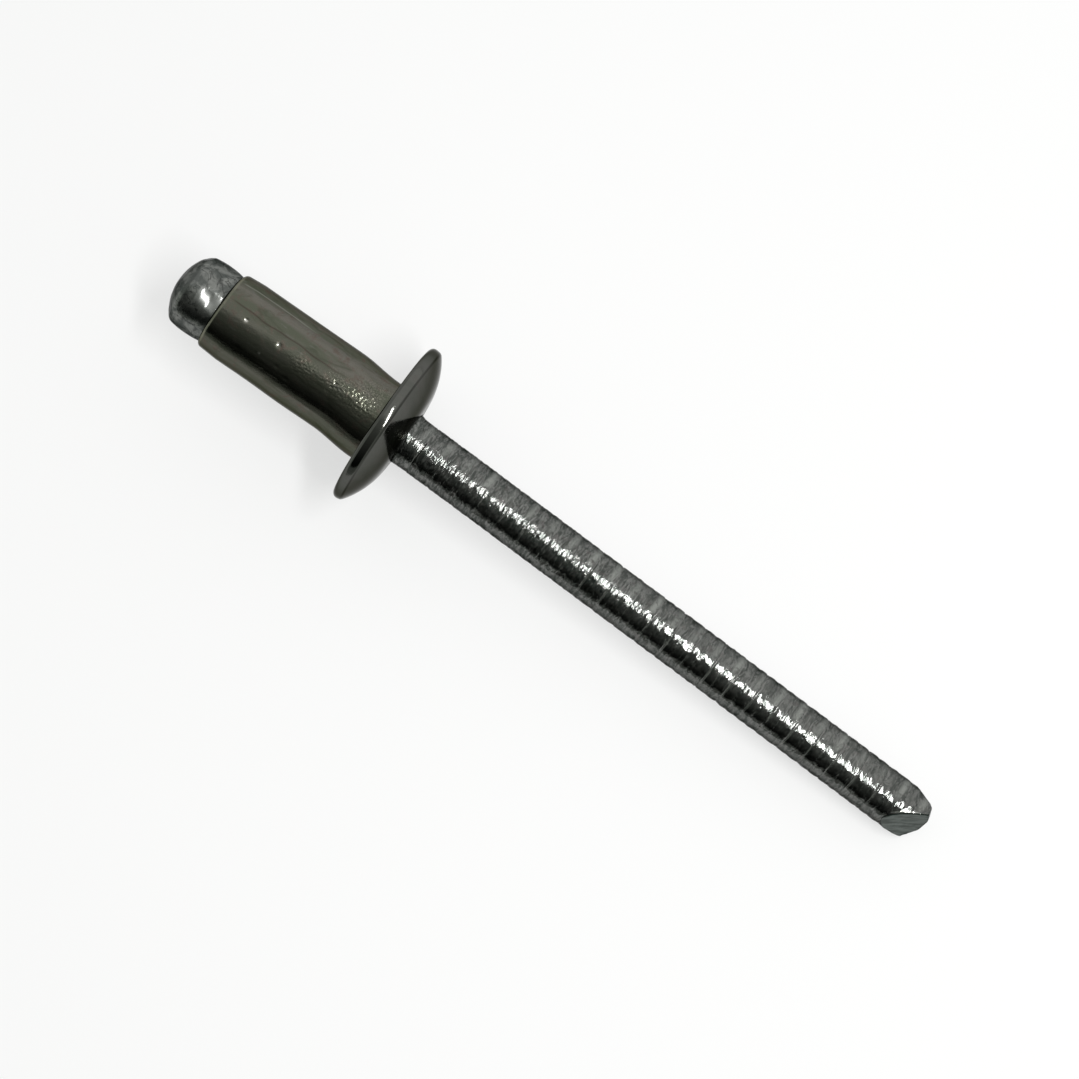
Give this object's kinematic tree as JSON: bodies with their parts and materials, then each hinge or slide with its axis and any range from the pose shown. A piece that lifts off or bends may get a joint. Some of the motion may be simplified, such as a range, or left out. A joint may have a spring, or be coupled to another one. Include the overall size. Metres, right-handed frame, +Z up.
{
  "type": "blind rivet",
  "caption": "Steel blind rivet before setting: hollow body with a domed flange, and a mandrel with a barrel head, a grooved stem and a pinched tip.",
  "frame": {"origin": "on the floor, under the middle of the rivet's length, as it lies on the rim of its flange and the tip of its mandrel", "axes": "+X along the rivet as it lies, towards the mandrel's tip; +Z up from the floor; +Y across the rivet"},
  "size_m": [0.0412, 0.008, 0.008],
  "materials": {
    "body_steel": "satin, dull dark grey with a slight olive cast",
    "mandrel_steel": "bright wire, cool grey, crossed by fine gripping grooves"
  },
  "bodies": {
    "root": {"rivet_body": "body_steel", "mandrel": "mandrel_steel"}
  },
  "joints": []
}
